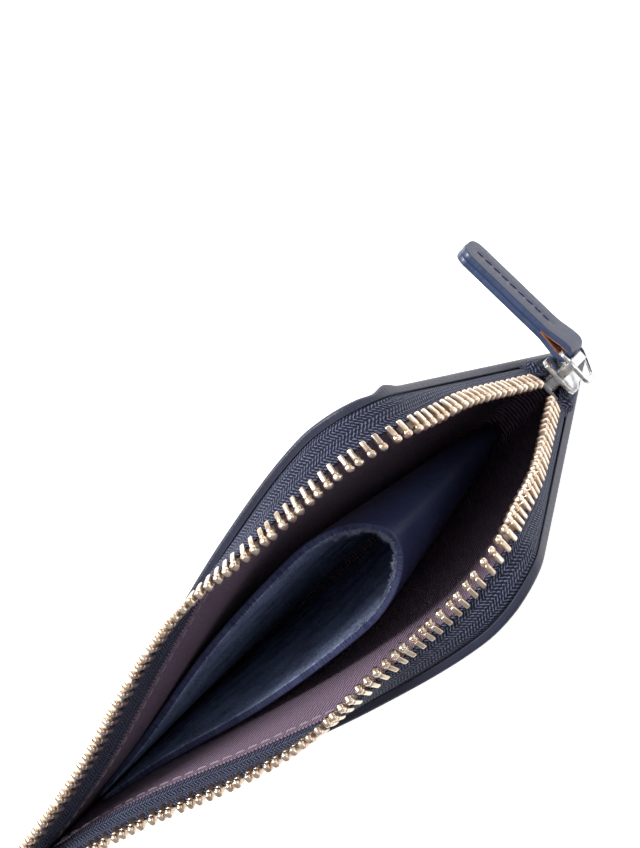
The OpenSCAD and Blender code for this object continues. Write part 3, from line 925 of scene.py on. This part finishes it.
def tab_frame():
    """Where the ring's far bar is: the tab's own origin, half way along the bar."""
    low, high = box_mm("pull_ring")
    wire = high[0] - low[0]
    z_low, z_high = box_mm("pull_tab")[0][2], box_mm("pull_tab")[1][2]
    return np.array([(low[0] + high[0]) / 2, high[1] - wire / 2, (z_low + z_high) / 2]), wire


def tab_to_row(points):
    """From the tab's own axes to the row frame."""
    origin, _ = tab_frame()
    c, s = math.cos(TAB_LEAN), math.sin(TAB_LEAN)
    x = points[..., 0] * c - points[..., 1] * s
    y = points[..., 0] * s + points[..., 1] * c
    return origin + np.stack([x, y, points[..., 2]], -1)


def tab():
    """One strip folded round the ring: two layers pressed together and a loop round the bar."""
    _, wire = tab_frame()
    loop = wire / 2 + 0.1 + TAB_T / 2
    flat = TAB_T / 2 + 0.01
    leg = np.linspace(TAB_LEN - 0.2, 7, 44)
    neck = np.linspace(6.2, 0.6, 10)
    half_path = [(flat, y) for y in leg]
    half_path += [(flat + (loop - flat) * float(1 - ease(y, 0.2, 6.6)), y) for y in neck]
    arc = [(loop * math.cos(a), loop * math.sin(a)) for a in np.radians(np.linspace(-4, -176, 22))]
    path = np.array(half_path + arc + [(-x, y) for x, y in half_path[::-1]])
    tangent = unit(np.gradient(path, axis=0))
    normal = np.stack([-tangent[:, 1], tangent[:, 0]], -1)
    if normal[0, 0] < 0:
        normal = -normal
    length = np.concatenate([[0], np.cumsum(np.linalg.norm(np.diff(path, axis=0), axis=1))])
    from_end = np.minimum(length, length[-1] - length)
    r = 3.0
    inset = np.where(from_end < r, r - np.sqrt(np.clip(r * r - (r - from_end) ** 2, 0, None)), 0)
    vs = np.array([-1, -0.97, -0.9, -0.75, -0.5, -0.25, 0, 0.25, 0.5, 0.75, 0.9, 0.97, 1])
    width = (TAB_W / 2 - inset)[:, None] * vs[None]
    crown = 0.12 * (1 - vs ** 4)
    outer = np.zeros((len(path), len(vs), 3))
    inner = np.zeros_like(outer)
    thick = TAB_T / 2
    sewn = ease(from_end, 2.4, 3.4) * ease(-from_end, -27, -26)
    dip = -0.28 * np.exp(-((vs / 0.13) ** 2)) * sewn[:, None]
    for grid, offset in ((outer, thick - 0.1 + crown[None] + dip), (inner, np.full(width.shape, -thick))):
        grid[..., 0] = path[:, None, 0] + normal[:, None, 0] * offset
        grid[..., 1] = path[:, None, 1] + normal[:, None, 1] * offset
        grid[..., 2] = width
    uv = np.stack(np.broadcast_arrays(length[:, None], vs[None] * TAB_W / 2), -1)
    made = closed_sheet("tab_leather_strip", tab_to_row(outer), tab_to_row(inner), uv,
                        [tab_grain, tab_flesh, tab_edge])
    bar = tab_frame()[0] * MM
    for face in made.data.polygons:
        if face.material_index == 1 and face.center.y - bar[1] > 6.6 * MM:
            face.material_index = 2
    return place(made, "tab", "tab_leather", "pull_tab")


def tab_stitches():
    """Nine saddle stitches down the middle of both faces."""
    parts = []
    surface = TAB_T - 0.22
    for face in (1, -1):
        for k in range(9):
            y = 6.8 + 2.5 * k
            slant = 0.14 * face
            a = np.array([face * surface, y, -slant])
            b = np.array([face * surface, y + 2.2, slant])
            parts.append(stitch(tab_to_row(a), tab_to_row(b),
                                tab_to_row(np.array([face, 0, 0.0])) - tab_to_row(np.zeros(3)), 0.24, 0.12))
    points, faces, uvs = joined(parts)
    made = new_object("tab_thread", points, faces, [navy_thread], uvs)
    return place(made, "tab", "navy_thread", "tab_stitching")


# ---------------------------------------------------------------- build
for label, sign in SIDES:
    leather_panel(label, sign)
    lining(label, sign)
    tape(label, sign)
    tape_end(label, sign)
    tape_cord(label, sign)
    teeth(label, sign, 0 if sign > 0 else TOOTH_PITCH / 2)
    top_stop(label, sign)
    zip_stitching(label, sign)
    lining_stitching(label, sign)
side_seam()
sleeve()
sleeve_fibres()
cad_copy("slider_casting", "slider_body", "slider", "nickel", nickel, 0.22)
cad_copy("slider_strap", "slider_bridge", "slider", "nickel", nickel, 0.25)
cad_copy("bottom_stop_clip", "bottom_stop", "pouch", "nickel", nickel, 0.35)
ring()
tab()
tab_stitches()
for piece in SOFT:
    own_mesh(piece)


# ---------------------------------------------------------------- floor, light and camera
def floor():
    half_size = 2.4 / MM
    x, y = np.meshgrid([-half_size, half_size], [-half_size, half_size])
    points = np.stack([x, y, np.zeros_like(x)], -1).reshape(-1, 3)
    m = Material("floor", 0.9, Emission_Strength=0.75)
    m.shader.inputs["Emission Color"].default_value = (1, 1, 1, 1)
    place_node = m.node("TexCoord").outputs["Object"]
    m.colour(m.ramp(m.noise(place_node, 3.0), (0.3, (0.90, 0.90, 0.90)), (0.7, (0.92, 0.92, 0.92))))
    made = new_object("floor", points, [[0, 1, 3, 2]], [m.material])
    made.location.z = -0.0002


def area_light(name, at, target, size, power, colour=(1, 1, 1)):
    light = bpy.data.lights.new(name, "AREA")
    light.shape = "DISK"
    light.size = size
    light.energy = power
    light.color = colour
    lamp = bpy.data.objects.new(name, light)
    bpy.context.scene.collection.objects.link(lamp)
    lamp.location = Vector(at)
    lamp.rotation_euler = (Vector(target) - Vector(at)).to_track_quat("-Z", "Y").to_euler()


def world(strength):
    made = bpy.data.worlds.new("studio")
    bpy.context.scene.world = made
    made.use_nodes = True
    back = made.node_tree.nodes["Background"]
    back.inputs["Color"].default_value = (1, 1, 1, 1)
    back.inputs["Strength"].default_value = strength


def camera():
    """Looks steeply down into the mouth, turned so that the slider is at the upper right."""
    tilt, heading, roll = math.radians(27.6), math.radians(-2.7), math.radians(40.4)
    distance = 0.516
    back = Vector((math.sin(tilt) * math.cos(heading), math.sin(tilt) * math.sin(heading), math.cos(tilt)))
    level = math.cos(tilt)
    uphill = Vector((level * math.cos(heading), level * math.sin(heading), -math.sin(tilt)))
    sideways = back.cross(uphill)
    right = uphill * math.cos(roll) - sideways * math.sin(roll)
    up = uphill * math.sin(roll) + sideways * math.cos(roll)
    target = Vector((0.0586, 0.0267, 0.1026))
    data = bpy.data.cameras.new("camera")
    data.sensor_width = 36
    data.lens = 111.4
    data.clip_start = 0.01
    made = bpy.data.objects.new("camera", data)
    bpy.context.scene.collection.objects.link(made)
    turn = Matrix((right, up, back)).transposed().to_4x4()
    made.matrix_world = Matrix.Translation(target + back * distance) @ turn
    bpy.context.scene.camera = made


floor()
world(0.36)
area_light("key", (-0.15, 0.75, 0.9), (0, 0, 0.08), 0.5, 20.0, (1.0, 0.985, 0.96))
area_light("fill", (0.9, -0.25, 0.55), (0.03, 0, 0.08), 0.7, 2.2, (0.95, 0.97, 1.0))
camera()
bpy.context.scene.view_settings.view_transform = "Standard"
